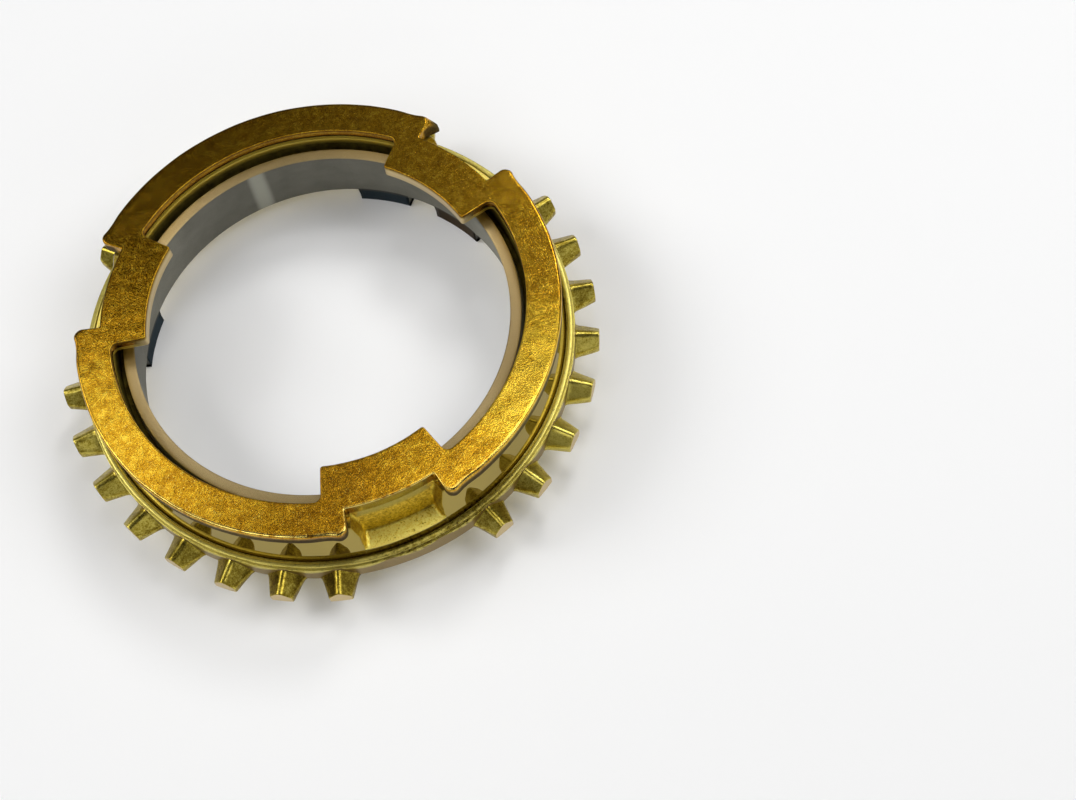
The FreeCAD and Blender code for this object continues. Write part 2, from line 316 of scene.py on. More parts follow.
def neck_row(outside, inside):
    """A row of the neck: one point of the section outside the slot, another inside it.

    The step between them is drawn at least a millimetre deep and then scaled, so that its
    corners keep their width near the lip, where the slot is shallow. The side walls lean, so
    the slot is narrower at its floor than at its top.
    """
    low = min(inside[0], outside[0] - LEAST_STEP)
    stepped, angle = outline("slot", low, outside[0], SLOT_HALF, *SLOT_CORNERS)
    share = (stepped - low) / (outside[0] - low)
    radius = inside[0] + (outside[0] - inside[0]) * share
    height = inside[1] + (outside[1] - inside[1]) * share
    wall = np.interp(height, WALL_LEVELS, WALL_HALVES)
    lean = SLOT_LEAN * fall(inside[0], LIP_AT - 0.5, 0.5)
    wall -= (1 - share) * lean * fall(inside[1], SLOT_FLOOR, FLANGE_UNDER - SLOT_FLOOR)
    beyond = wall + (angle - SLOT_HALF) * (WALL_REACH - wall) / (WALL_REACH - SLOT_HALF)
    moved = np.where(angle < SLOT_HALF, angle * wall / SLOT_HALF, beyond)
    return radius, np.where(angle < WALL_REACH, moved, angle), height


def seat_row(radius, height):
    """A turned row. On the friction cone it dips into an oil groove every 60 degrees."""
    seat = SEAT_FOOT + (SEAT_TOP - SEAT_FOOT) * (height - GEAR_FACE) / (FRICTION_TOP - GEAR_FACE)
    away = np.minimum(STATIONS, HALF - STATIONS)
    depth = OIL_DEPTH * fall(away, OIL_HALF - OIL_WALL / 2, OIL_WALL)
    widened = np.where(depth > 0, np.maximum(radius, seat + depth), radius)
    return widened, STATIONS.copy(), np.full(len(STATIONS), height)


def between_rows(first, last, shares):
    """Rows between two others. Each share is a pair: along the radius, and along the height."""
    made = []
    for across, up in shares:
        amounts = (across, across, up)
        made.append(tuple(a + (b - a) * amount for a, b, amount in zip(first, last, amounts)))
    return made


def corner_turns(size, points):
    """Inset and drop at points round a quarter-circle edge."""
    quarter = np.linspace(0, math.pi / 2, points)
    return list(zip(size * (1 - np.cos(quarter)), size * (1 - np.sin(quarter))))


# %% [markdown]
# The rows go once round the section: along the gear face and over the rim, up the neck, round
# the flange, across the hub face, down the lugs and back along the friction cone. Each row
# carries the name of its zone, which later decides its finish.

# %% The way round the section
EDGE_ROUND, UNDER_ROUND, LUG_ROUND, LUG_UNDER_ROUND = 0.6, 0.3, 0.25, 0.25
LIP_PROUD = 0.12
CHANNEL_EDGE = (RIDGE_IN - 0.2, CHANNEL_FLOOR)
UNDER_SHARES = [(0.05, 0.45), (0.15, 0.75), (0.35, 0.92), (0.7, 0.98)]
FACE_SHARES = (0.03, 0.09, 0.2, 0.35, 0.5, 0.65, 0.8, 0.91, 0.97)
RELIEF = BORE + 0.1


def rim_rows():
    """From the friction cone's foot along the gear face, up the rim and over the ridge."""
    line = section([
        (SEAT_FOOT, GEAR_FACE), (RIM, GEAR_FACE), (RIM, BAND_TOP), (RIDGE_OUT + 0.05, BAND_TOP - 0.15),
        (RIDGE_OUT, RIDGE_TOP), (RIDGE_IN, RIDGE_TOP), CHANNEL_EDGE,
    ], [0.25, 0.25, 0.15, 0.22, 0.22], 38)
    return [("rim", seat_row(*point)) for point in line]


def neck_rows():
    """Across the channel and up the neck, on one line outside the slot and another inside it."""
    near_lip, below = ((LIP_AT + drop * NECK_SLOPE, SLOT_FLOOR - drop) for drop in (0.45, 0.3))
    foot = section([CHANNEL_EDGE, (NECK_FOOT, CHANNEL_FLOOR), below], [0.25], 10)[1:]
    outside = section([below, (NECK_TOP, NECK_END)], [], 18)[1:]
    slot = [below, (LIP_AT, SLOT_FLOOR), (SLOT_FOOT, SLOT_FLOOR), (NOTCH, NECK_END)]
    inside = section(slot, [0.15, 0.2], 18)[1:]
    rows = [neck_row(point, point) for point in (*foot[:-1], near_lip, below)]
    rows += [neck_row(*pair) for pair in zip(outside, inside)]
    return [("neck", row) for row in rows]


def flange_rows(neck_top):
    """Out under the flange, up its wall and round the edge of the hub face."""
    turns = corner_turns(UNDER_ROUND, 4)[::-1]
    low_edge = [flange_row(inset, drop, FLANGE_UNDER) for inset, drop in turns]
    wall = [flange_row(0.0, -depth, HUB_FACE) for depth in (2.1, 1.6)]
    high_edge = [flange_row(inset, -drop, HUB_FACE) for inset, drop in corner_turns(EDGE_ROUND, 8)]
    rows = [("under", row) for row in between_rows(neck_top, low_edge[0], UNDER_SHARES)]
    return rows + [("edge", row) for row in low_edge + wall + high_edge]


def lug_rows(outer_edge):
    """Across the hub face and down the inner outline with its lugs."""
    turns = corner_turns(LUG_ROUND, 5)[::-1]
    inner_edge = [lug_row(inset, HUB_FACE - drop, LIP_PROUD) for inset, drop in turns]
    face = between_rows(outer_edge, inner_edge[0], [(share, share) for share in FACE_SHARES])
    lip = inner_edge + [lug_row(0.0, HUB_FACE - depth, LIP_PROUD) for depth in (1.2, 1.9)]
    wall = [lug_row(0.0, HUB_FACE - depth) for depth in (2.05, 2.6)]
    wall += [lug_row(inset, FLANGE_UNDER + drop) for inset, drop in corner_turns(LUG_UNDER_ROUND, 3)]
    return [(zone, row) for zone, made in (("face", face), ("lip", lip), ("bore", wall)) for row in made]


def bore_rows(lug_foot):
    """Out under the lugs to the relief, and down the friction cone."""
    line = section([
        (RELIEF, NECK_END), (RELIEF, FRICTION_TOP), (SEAT_TOP, FRICTION_TOP), (SEAT_FOOT, GEAR_FACE),
    ], [0.15, 0.2], 16)[:-1]
    rows = between_rows(lug_foot, plain_row(*line[0]), [(0.1, 0.2), (0.4, 0.4), (0.8, 0.7)])
    return [("bore", row) for row in rows + [seat_row(*point) for point in line]]


def ring_rows():
    """All rows of the blocker ring, in order round its section, with the zone of each."""
    rows = rim_rows() + neck_rows()
    rows += flange_rows(rows[-1][1])
    rows += lug_rows(rows[-1][1])
    return rows + bore_rows(rows[-1][1])


ROWS = ring_rows()
print(len(ROWS), "rows in the section")

# %% [markdown]
# Each surface of the ring was left by another tool, and the finish follows that. The weights
# of the finishes are kept as point attributes, such as *gold* for the hub face with its forging
# scale, *polished* for the neck, *turned* for machined faces, and one for dirt and painted shade
# in the dark corners.

# %% Weights of the finishes
LUG_INSIDE, LUG_FADE = 38.0, 3.0
OUTSIDE_NOTCH = NOTCH + 1.5
GAP_TOP = 21.9


def paint_dirt_and_shade(at, radius, angle, height, lug, slot, wall):
    """Dirt and painted shade in the groove by the ridge, the channel, the gap, under the flange and the
    lugs, and in the slots.
    """
    groove = hump(radius, RIDGE_OUT + 0.12, 0.14) * hump(height, BAND_TOP + 0.05, 0.18)
    channel = hump(radius, NECK_FOOT + 0.15, 0.3) * hump(height, CHANNEL_FLOOR + 0.1, 0.25)
    gap = at["bore"] * (1 - lug) * fall(height, GAP_TOP, 0.3)
    under = at["under"] * (radius > OUTSIDE_NOTCH)
    back = slot * hump(radius, SLOT_FOOT + 0.05, 0.3) * hump(height, SLOT_FLOOR + 0.1, 0.3)
    cheeks = slot * (angle > wall - 0.6) * rise(height, SLOT_FLOOR + 0.3, 0.5)
    under_lug = at["bore"] * lug * (height < FLANGE_UNDER + 0.1)
    grime = 0.7 * groove + 0.5 * channel + 0.9 * gap + 0.9 * under + 0.6 * back + 0.55 * cheeks
    return np.clip(grime + 0.8 * under_lug, 0, 1)


def paint_rows(rows):
    """Radius, angle and height at every station of every row, and the weights of the finishes."""
    radius, angle, height = (np.stack([row[part] for _, row in rows]) for part in range(3))
    zone = np.repeat(np.array([name for name, _ in rows])[:, None], radius.shape[1], axis=1)
    at = {name: zone == name for name in ("rim", "neck", "under", "edge", "face", "lip", "bore")}
    lug = fall(radius, LUG_INSIDE, LUG_FADE)
    wall = np.interp(height, WALL_LEVELS, WALL_HALVES)
    slot = at["neck"] & (height > SLOT_FLOOR - 0.2) & (angle < wall + 0.03)
    behind_slot = (angle < SLOT_HALF - 0.6) & (radius < NOTCH + 0.9) & (slot | at["edge"] | at["under"])
    outer_wall = at["edge"] & (radius > OUTSIDE_NOTCH)
    gear_face = at["rim"] & (height < GEAR_FACE + 0.2) & (radius < RIM - 0.4)
    face_of_lug = (at["bore"] | (at["lip"] & (height < HUB_FACE - 0.3))) * lug
    upper = np.where(outer_wall, rise(height, HUB_FACE - 1.5, 0.7), 1)
    neck = at["neck"] * rise(height, CHANNEL_FLOOR + 0.05, 0.15) * fall(height, FLANGE_UNDER - 0.65, 0.3)
    # The flange's outer wall below its edge is painted dark: scale and painted shade.
    scaled_and_shaded_wall = outer_wall * fall(height, HUB_FACE - 0.85, 0.3)
    paints = {
        "polished": neck * (1 - slot),
        "slotted": slot | (at["under"] & (radius < NECK_TOP + 0.2)),
        "slot_floor": slot & (height < SLOT_FLOOR + 0.2) & (radius > SLOT_FOOT + 0.2),
        # Painted reflection of the sky: grey olive on the upper wall behind each slot.
        "dull": behind_slot * rise(height, NECK_END - 1.7, 0.8) * fall(height, HUB_FACE - 0.4, 0.2),
        "turned": np.clip((at["bore"] | gear_face) + face_of_lug, 0, 1),
        "tan": face_of_lug,
        "rim": at["rim"],
        "gold": (at["face"] | at["lip"] | at["edge"]) * upper,
        "lip": at["lip"] * fall(height, HUB_FACE - 0.35, 0.15) * (1 - lug),
        # The flange's rounded edge: wear with a painted highlight toward the camera, scale with painted
        # shade elsewhere.
        "worn": at["edge"] * hump(height, HUB_FACE - 0.1, 0.1),
        # Wear with a painted highlight: a bright line along each slot's lip.
        "rubbed": slot * (angle < wall - 0.7) * hump(radius, LIP_AT, 0.16),
        # Scale and painted shade on the flange's outer wall and along the hub face's inner edge.
        "scale": 0.9 * scaled_and_shaded_wall + at["lip"] * hump(height, HUB_FACE - 0.16, 0.12),
        # Dirt and painted shade in grooves, gaps and corners, and under the flange and the lugs.
        "grime": paint_dirt_and_shade(at, radius, angle, height, lug, slot, wall),
    }
    return radius, angle, height, paints


# %% [markdown]
# The rows so far cover half a third of the ring. Mirroring gives a third, and three thirds side
# by side give the whole grid. Then the forging gets what is not regular: at one notch the
# flange's wall has spread, and all rough faces are pushed in and out a little by noise.

# %% Body of the blocker ring
FLARE_AT, FLARE_WIDTH, FLARE_OUT, FLARE_TURN = 42.3, 3.2, 0.5, 2.6
FLARE_RADII, FLARE_TOP, FLARE_FOOT = (49.0, 2.5), (HUB_FACE - 2.1, 1.8), (FLANGE_UNDER - 4.5, 3.5)
GOLD_UNEVEN, SLOT_UNEVEN, RIM_UNEVEN, UNEVEN_WAVE = 0.045, 0.08, 0.015, 6.0


def whole_ring(half):
    """A third from its half, by mirroring, then three thirds side by side."""
    third = np.concatenate([half[:, :0:-1], half[:, :-1]], axis=1)
    return np.concatenate([third] * len(LUG_HEADINGS), axis=1)


def whole_turn(angle):
    """Headings of the whole grid in radians, turned to each lug."""
    third = np.concatenate([-angle[:, :0:-1], angle[:, :-1]], axis=1)
    return np.radians(np.concatenate([third + heading for heading in LUG_HEADINGS], axis=1))


def flare(radius, turned, height):
    """Lets the flange's wall spread at one notch corner, outward and into the notch."""
    depth = fall(height, *FLARE_TOP) * rise(height, *FLARE_FOOT)
    share = hump(np.degrees(turned), FLARE_AT, FLARE_WIDTH) * rise(radius, *FLARE_RADII) * depth
    return radius + FLARE_OUT * share, turned - np.radians(FLARE_TURN * share)


radius, angle, height, paints = paint_rows(ROWS)
paints = {name: whole_ring(amount) for name, amount in paints.items()}
tall = whole_ring(height)
wide, turned = flare(whole_ring(radius), whole_turn(angle), tall)
points = np.stack([wide * np.cos(turned), wide * np.sin(turned), tall], -1)
body = make_mesh("ring_body", points.reshape(-1, 3), grid_faces(*wide.shape), paints)
uneven = GOLD_UNEVEN * paints["gold"] + SLOT_UNEVEN * paints["slotted"] + RIM_UNEVEN * paints["rim"]
roughen(body, uneven.ravel(), UNEVEN_WAVE)

# %% [markdown]
# ## The teeth
# A tooth is a short bar whose roof-shaped end guides the shift sleeve. It is drawn once, as a
# five-cornered section that narrows from the rim to the turned tip, with a flare at the root
# where the forging fillets run into the rim.

# %% One tooth
TOOTH_ROOT_HALF, TOOTH_TIP_HALF = 4.25, 2.4
ROOT_AT = RIM - 0.8
CREST = GEAR_FACE + 5.1
FALL = 0.4
ROOF = math.tan(math.radians(46))
TOOTH_FOOT = GEAR_FACE + 0.05
CORE = GEAR_FACE + 2.2
ROOT_SPREAD, ROOT_LIFT, ROOT_FADE = 0.3, 0.1, 0.3
LEAST_FLANK = 0.4
TOOTH_ROUNDS = [0.2, 0.5, 1.3, 0.5, 0.2]
REACHES = (ROOT_AT, RIM, RIM + 0.2, RIM + 0.45, RIM + 0.8, RIM + 1.3, 56.6, 57.4, 58.2, 59.0, TIP - 0.3)
TIP_EDGE = ((0.16, 0.01), (0.06, 0.05), (0.01, 0.13), (0.0, 0.2), (0.0, 0.3))


def tooth_section(reach, count=44, inset=0.0):
    """The tooth's outline at a distance from the axis, as points across and up."""
    share = (reach - ROOT_AT) / (TIP - ROOT_AT)
    half = TOOTH_ROOT_HALF + (TOOTH_TIP_HALF - TOOTH_ROOT_HALF) * share
    crest = CREST - FALL * share
    eave = crest - half * ROOF
    fillet = math.exp(-max(reach - RIM, 0) / ROOT_FADE)
    half += ROOT_SPREAD * fillet - inset
    crest += ROOT_LIFT * fillet - inset
    eave = max(eave, TOOTH_FOOT + LEAST_FLANK)
    foot = TOOTH_FOOT + inset
    corners = [(0, foot), (half, foot), (half, eave), (0, crest)]
    corners += [(-across, up) for across, up in corners[-2:0:-1]] + corners[:1]
    return section(corners, TOOTH_ROUNDS, count + 1, bend=0.8)[:-1]


def face_outward(mesh):
    """Turns every face of a closed mesh to the outside."""
    working = bmesh.new()
    working.from_mesh(mesh)
    bmesh.ops.recalc_face_normals(working, faces=working.faces[:])
    working.to_mesh(mesh)
    working.free()


def make_tooth():
    """One tooth that points along +X, closed at both ends."""
    rings = [(reach, tooth_section(reach)) for reach in REACHES]
    rings += [(TIP - drop, tooth_section(TIP, inset=inset)) for drop, inset in TIP_EDGE]
    middle = np.array([0, CORE])
    rings += [(TIP, middle + share * (rings[-1][1] - middle)) for share in (0.66, 0.33)]
    points = [
        (math.sqrt(reach ** 2 - across ** 2), across, up) for reach, ring in rings for across, up in ring
    ]
    points += [(ROOT_AT, 0, CORE), (TIP, 0, CORE)]
    count = len(rings[0][1])
    last = (len(rings) - 1) * count
    faces = grid_faces(len(rings), count)[:last].tolist()
    for index in range(count):
        after = (index + 1) % count
        faces += [(index, after, len(points) - 2), (last + after, last + index, len(points) - 1)]
    mesh = bpy.data.meshes.new("tooth")
    mesh.from_pydata((np.array(points) * MM).tolist(), [], faces)
    face_outward(mesh)
    tip_paint = [1.0 if math.hypot(x, y) > TIP - 0.02 else 0.0 for x, y, z in points]
    for paint in ("turned", "tan"):
        add_paint(mesh, paint, tip_paint)
    mesh.shade_smooth()
    return bpy.data.objects.new("tooth", mesh)


tooth = make_tooth()
print("one tooth has", len(tooth.data.polygons), "faces")

# %% [markdown]
# Node trees place the teeth and, later, colour the metal. A small class wraps a socket, so that
# an angle or a mask reads as a line of arithmetic.

# %% A socket as a number


class Signal:
    """A socket that takes part in sums, products and ranges like a number."""

    def __init__(self, nodes, socket):
        self.nodes, self.socket = nodes, socket

    def maths(self, operation, *others, clamp=False):
        inputs = dict(enumerate((self, *others)))
        return self.nodes.node("ShaderNodeMath", {"operation": operation, "use_clamp": clamp}, inputs)

    def __add__(self, other):
        return self.maths("ADD", other)

    def __sub__(self, other):
        return self.maths("SUBTRACT", other)

    def __mul__(self, other):
        return self.maths("MULTIPLY", other)

    def __truediv__(self, other):
        return self.maths("DIVIDE", other)

    def __rsub__(self, other):
        return (self * -1) + other

    __radd__ = __add__
    __rmul__ = __mul__

    def clamped(self):
        return self.maths("ADD", 0.0, clamp=True)

    def between(self, low, high):
        """0 below low, 1 above high, and a smooth rise between them."""
        settings = {"interpolation_type": "SMOOTHSTEP"}
        inputs = {"Value": self, "From Min": low, "From Max": high}
        return self.nodes.node("ShaderNodeMapRange", settings, inputs)


# %% Nodes of a tree


class Nodes:
    """Adds nodes to a tree, each from its type, its settings and then its inputs."""

    def __init__(self, tree):
        self.tree = tree

    def node(self, kind, settings=None, inputs=None, output=0):
        made = self.tree.nodes.new(kind)
        for name, value in (settings or {}).items():
            if name == "stops":
                self.set_stops(made.color_ramp, value)
            else:
                setattr(made, name, value)
        for key, value in (inputs or {}).items():
            if isinstance(value, Signal):
                self.tree.links.new(value.socket, made.inputs[key])
            else:
                made.inputs[key].default_value = value
        return Signal(self, made.outputs[output])

    @staticmethod
    def set_stops(ramp, stops):
        while len(ramp.elements) < len(stops):
            ramp.elements.new(0.5)
        for element, (position, colour) in zip(ramp.elements, stops):
            element.position = position
            element.color = (*colour, 1.0)

    def split(self, vector):
        return [self.node("ShaderNodeSeparateXYZ", inputs={0: vector}, output=axis) for axis in "XYZ"]

    def blend(self, first, second, share):
        """A mix of two colours, each a value or a signal."""
        settings = {"data_type": "RGBA"}
        colours = {}
        for index, colour in ((6, first), (7, second)):
            colours[index] = colour if isinstance(colour, Signal) else (*colour, 1.0)
        return self.node("ShaderNodeMix", settings, {0: share, **colours}, output=2)

    def layer(self, colour, *coats):
        """Lays coats over a colour, each a pair of its own colour and its share."""
        for coat, share in coats:
            colour = self.blend(colour, coat, share)
        return colour


# %% [markdown]
# The teeth stand in three groups. Copying them by hand would hide the rule, so a Geometry Nodes
# tree places them: it makes one point for each tooth, works out the turn of each point from its
# number, and sets a tooth on it. The tree ends by making the copies real and giving them their
# finish, because an export drops instances.

# %% Geometry Nodes for the teeth
TEETH_PER_GROUP, GROUPS, PITCH, FIRST_TOOTH = 8, 3, 12.0, -71.0


def tree_socket(tree, name, side, kind):
    """Adds a socket to a tree and returns its identifier, by which a modifier's value is set."""
    kind = "NodeSocket" + kind
    return tree.interface.new_socket(name=name, in_out=side, socket_type=kind).identifier


def make_teeth_tree():
    """Returns the tree and the identifiers of its inputs by name."""
    tree = bpy.data.node_groups.new("teeth_in_groups", "GeometryNodeTree")
    kinds = {
        "Tooth": "Object", "Teeth per group": "Int", "Groups": "Int",
        "Pitch": "Float", "First tooth": "Float", "Finish": "Material",
    }
    names = {name: tree_socket(tree, name, "INPUT", kind) for name, kind in kinds.items()}
    tree_socket(tree, "Geometry", "OUTPUT", "Geometry")
    make = Nodes(tree)
    given = [make.node("NodeGroupInput", output=name) for name in kinds]
    shape, per_group, groups, pitch, first, finish = given
    number = make.node("GeometryNodeInputIndex")
    group = (number / per_group).maths("FLOOR")
    heading = number.maths("MODULO", per_group) * pitch + group * 360.0 / groups + first
    inputs = {
        "Points": make.node("GeometryNodePoints", inputs={"Count": per_group * groups}),
        "Instance": make.node("GeometryNodeObjectInfo", inputs={"Object": shape}, output="Geometry"),
        "Rotation": make.node("ShaderNodeCombineXYZ", inputs={"Z": heading.maths("RADIANS")}),
    }
    placed = make.node("GeometryNodeInstanceOnPoints", inputs=inputs)
    real = make.node("GeometryNodeRealizeInstances", inputs={"Geometry": placed})
    inputs = {"Geometry": real, "Material": finish}
    finished = make.node("GeometryNodeSetMaterial", inputs=inputs)
    result = tree.nodes.new("NodeGroupOutput")
    tree.links.new(finished.socket, result.inputs["Geometry"])
    return tree, names


def grow(name, tree, names, values):
    """Runs a tree on an empty carrier and returns the result as a plain mesh object."""
    carrier = put_in_scene(name, bpy.data.meshes.new(name + "_carrier"))
    modifier = carrier.modifiers.new(name, "NODES")
    modifier.node_group = tree
    for key, value in values.items():
        modifier[names[key]] = value
    evaluated = carrier.evaluated_get(bpy.context.evaluated_depsgraph_get())
    mesh = bpy.data.meshes.new_from_object(evaluated)
    carrier.modifiers.clear()
    carrier.data = mesh
    print(name, "has", len(mesh.vertices), "points and", len(mesh.polygons), "faces")
    return carrier


# %% [markdown]
# ## Finishes
# Every finish is worked out from where a point lies on the ring and from its painted weights.
# All noise runs on Object coordinates, in metres, so a scale of 1000 gives grains of about a
# millimetre.

# %% A finish


class Finish(Nodes):
    """A material with one Principled shader, and the nodes that feed it."""

    def __init__(self, name, **constants):
        self.material = bpy.data.materials.new(name)
        self.material.use_nodes = True
        super().__init__(self.material.node_tree)
        self.shader = self.tree.nodes["Principled BSDF"]
        for socket, value in constants.items():
            self.shader.inputs[socket.replace("_", " ").title()].default_value = value
        self.place = self.node("ShaderNodeTexCoord", output="Object")
        self.x, self.y, self.z = (part * (1 / MM) for part in self.split(self.place))
        self.radius = (self.x * self.x + self.y * self.y).maths("SQRT")
        self.heading = self.y.maths("ARCTAN2", self.x) * (180 / math.pi)

    def toward(self, heading, width):
        """1 on one side of the ring, falling to 0 at a width in degrees either side."""
        turn = math.radians(heading)
        facing = (self.x * math.cos(turn) + self.y * math.sin(turn)) / self.radius
        return facing.between(math.cos(math.radians(width)), 1.0)

    def paint(self, name):
        return self.node("ShaderNodeAttribute", {"attribute_name": name}, output="Fac")

    def grain(self, size, detail=3.0, roughness=0.55, place=None):
        """Noise between 0 and 1 whose blotches are about size millimetres across."""
        inputs = {"Vector": place or self.place, "Scale": 1 / (size * MM)}
        inputs |= {"Detail": detail, "Roughness": roughness}
        return self.node("ShaderNodeTexNoise", None, inputs, output="Fac")

    def ramp(self, value, stops):
        return self.node("ShaderNodeValToRGB", {"stops": stops}, {"Fac": value}, output="Color")

    def stretched(self, scale, turn=(0, 0, 0)):
        """Object coordinates stretched along the axes, for scratches."""
        inputs = {"Vector": self.place, "Scale": scale, "Rotation": [math.radians(v) for v in turn]}
        return self.node("ShaderNodeMapping", None, inputs)

    def around(self, along, across):
        """Coordinates that run with the turning marks: round the ring, outward and up."""
        parts = {"X": self.heading * along, "Y": self.radius * across, "Z": self.z * across}
        return self.node("ShaderNodeCombineXYZ", None, parts)

    def wear(self, colour, roughness, metallic=None, heights=()):
        """Feed the shader, with one Bump node for each pair of height and depth."""
        wanted = {"Base Color": colour, "Roughness": roughness, "Metallic": metallic}
        for socket, value in wanted.items():
            if value:
                self.tree.links.new(value.socket, self.shader.inputs[socket])
        normal = None
        for height, depth in heights:
            inputs = {"Height": height, "Distance": depth * MM}
            if normal:
                inputs["Normal"] = normal
            normal = self.node("ShaderNodeBump", None, inputs, output="Normal")
        if normal:
            self.tree.links.new(normal.socket, self.shader.inputs["Normal"])
        return self.material


# %% [markdown]
# Forged brass is not one colour. The hub face kept its forging scale, so it is deep gold with
# brown mottling. The lower parts are cleaner and look olive. Turned faces are pale and pinkish
# with fine rings, and the neck is polished like a mirror. Each ramp runs from the darkest to the
# brightest tone of one surface.

# %% Brass colours
GOLD_STOPS = [
    (0.0, (0.30, 0.13, 0.006)), (0.45, (0.54, 0.275, 0.012)),
    (0.75, (0.68, 0.385, 0.02)), (1.0, (0.88, 0.58, 0.05)),
]
OLIVE_STOPS = [(0.0, (0.15, 0.10, 0.010)), (0.5, (0.37, 0.28, 0.035)), (1.0, (0.62, 0.52, 0.11))]
SLOT_STOPS = [(0.0, (0.28, 0.17, 0.012)), (0.5, (0.66, 0.46, 0.04)), (1.0, (0.92, 0.72, 0.11))]
FLOOR_STOPS = [(0.0, (0.14, 0.09, 0.01)), (0.4, (0.86, 0.66, 0.08)), (1.0, (0.99, 0.88, 0.24))]
RIDGE_STOPS = [(0.0, (0.55, 0.44, 0.07)), (1.0, (0.88, 0.78, 0.24))]
BORE_STOPS = [(0.0, (0.66, 0.50, 0.06)), (1.0, (0.92, 0.78, 0.18))]
TAN_STOPS = [(0.0, (0.50, 0.38, 0.18)), (1.0, (0.72, 0.57, 0.31))]
BAND_STOPS = [(0.0, (0.18, 0.12, 0.035)), (1.0, (0.40, 0.29, 0.11))]
NECK_COLOUR = (0.34, 0.26, 0.07)
# Grey olive for the painted reflection of the sky behind the slots.
SKY_REFLECTION_COLOUR = (0.42, 0.36, 0.10)
# Bright brass, for flecks, for wear and for painted highlights on edges.
WORN_AND_HIGHLIGHT_COLOUR = (0.95, 0.78, 0.22)
LIP_COLOUR = (0.30, 0.17, 0.02)
STAIN_COLOUR = (0.22, 0.10, 0.006)
# Near black, for scale and for painted shade on edges and walls.
SCALE_AND_SHADE_COLOUR = (0.035, 0.014, 0.003)
# Near black, for dirt in pits and for painted shade in recesses.
DIRT_AND_SHADE_COLOUR = (0.035, 0.018, 0.004)
print("brass runs from", GOLD_STOPS[0][1], "in its pits to", WORN_AND_HIGHLIGHT_COLOUR, "on worn edges")

# %% [markdown]
# The colour is built up in layers, like the wear itself: first the forged skin, then what was
# cut or polished, then edge wear with painted highlights, and last dirt and painted shade. The
# masks made with *toward* pick a side of the ring, where a face gets a painted highlight or
# painted shade, or where the ridge is tarnished.

# %% Layers of the brass
BAND_LOW, BAND_SCALLOP = 3.4, 8.0


def band_mask(finish):
    """The trimmed band round the rim: full height in the gaps, lower between the teeth."""
    in_pitch = ((finish.heading - FIRST_TOOTH + 720.0) / PITCH).maths("FRACT")
    mid_gap = (in_pitch - 0.5).maths("ABSOLUTE")
    top = GEAR_FACE + BAND_LOW + mid_gap * mid_gap * BAND_SCALLOP
    outer = finish.radius.between(RIM - 0.25, RIM - 0.1)
    outer = outer * (1 - finish.radius.between(RIM + 0.02, RIM + 0.05))
    return outer * (1 - ((finish.z - top) * 5.0).clamped())


def forged_skin(finish, blotches, leather, specks):
    """Mottled gold with stains and flecks on the hub face, olive elsewhere, with painted highlights on
    two sides and painted shade toward the camera.
    """
    # Painted highlight on the hub face near headings -171 and -42, and painted shade near -104.
    rubbed = finish.toward(-171, 24) * 0.3 + finish.toward(-42, 26) * 0.85
    rubbed = rubbed - finish.toward(-104, 20) * 0.4
    mottled = (blotches * 0.3 + leather * 0.3 + specks * 0.4 + rubbed * 0.14).between(0.35, 0.65)
    stains = finish.grain(1.4, 4.0, 0.7).between(0.56, 0.70)
    flecks = finish.grain(0.22, 1.0, 0.5).between(0.66, 0.76)
    gold = finish.ramp(mottled, GOLD_STOPS)
    gold = finish.layer(gold, (STAIN_COLOUR, stains * 0.55), (WORN_AND_HIGHLIGHT_COLOUR, flecks * 0.7))
    return finish.blend(finish.ramp(mottled, OLIVE_STOPS), gold, finish.paint("gold"))


def lumpy_rim(finish, colour):
    """A bright, lumpy ridge, pitted, and tarnished on one side."""
    lumps = finish.grain(1.1, 3.0, 0.65)
    tarnish = finish.toward(-80, 24) * lumps.between(0.35, 0.6)
    pits = finish.grain(0.55, 3.0, 0.6).between(0.56, 0.66)
    rim = finish.paint("rim")
    return finish.layer(
        colour,
        (finish.ramp(lumps, RIDGE_STOPS), rim * (1 - tarnish) * 0.8),
        (DIRT_AND_SHADE_COLOUR, rim * pits * (0.35 + tarnish * 0.5)),
    )


def cut_faces(finish, colour, leather, specks, rings, band):
    """The key slots with a painted reflection of the sky high on their back walls, the polished neck,
    and the turned faces with their rings.
    """
    wall_grain = (leather * 0.6 + specks * 0.4).between(0.3, 0.7)
    floor_grain = (leather * 0.5 + specks * 0.5).between(0.30, 0.58)
    return finish.layer(
        colour,
        (finish.ramp(wall_grain, SLOT_STOPS), finish.paint("slotted")),
        (finish.ramp(floor_grain, FLOOR_STOPS), finish.paint("slot_floor")),
        # Painted reflection of the sky on the upper walls behind the slots.
        (SKY_REFLECTION_COLOUR, finish.paint("dull") * 0.8),
        (NECK_COLOUR, finish.paint("polished")),
        (finish.ramp(rings, BORE_STOPS), finish.paint("turned")),
        (finish.ramp(rings, TAN_STOPS), finish.paint("tan")),
        (finish.ramp(rings, BAND_STOPS), band),
    )


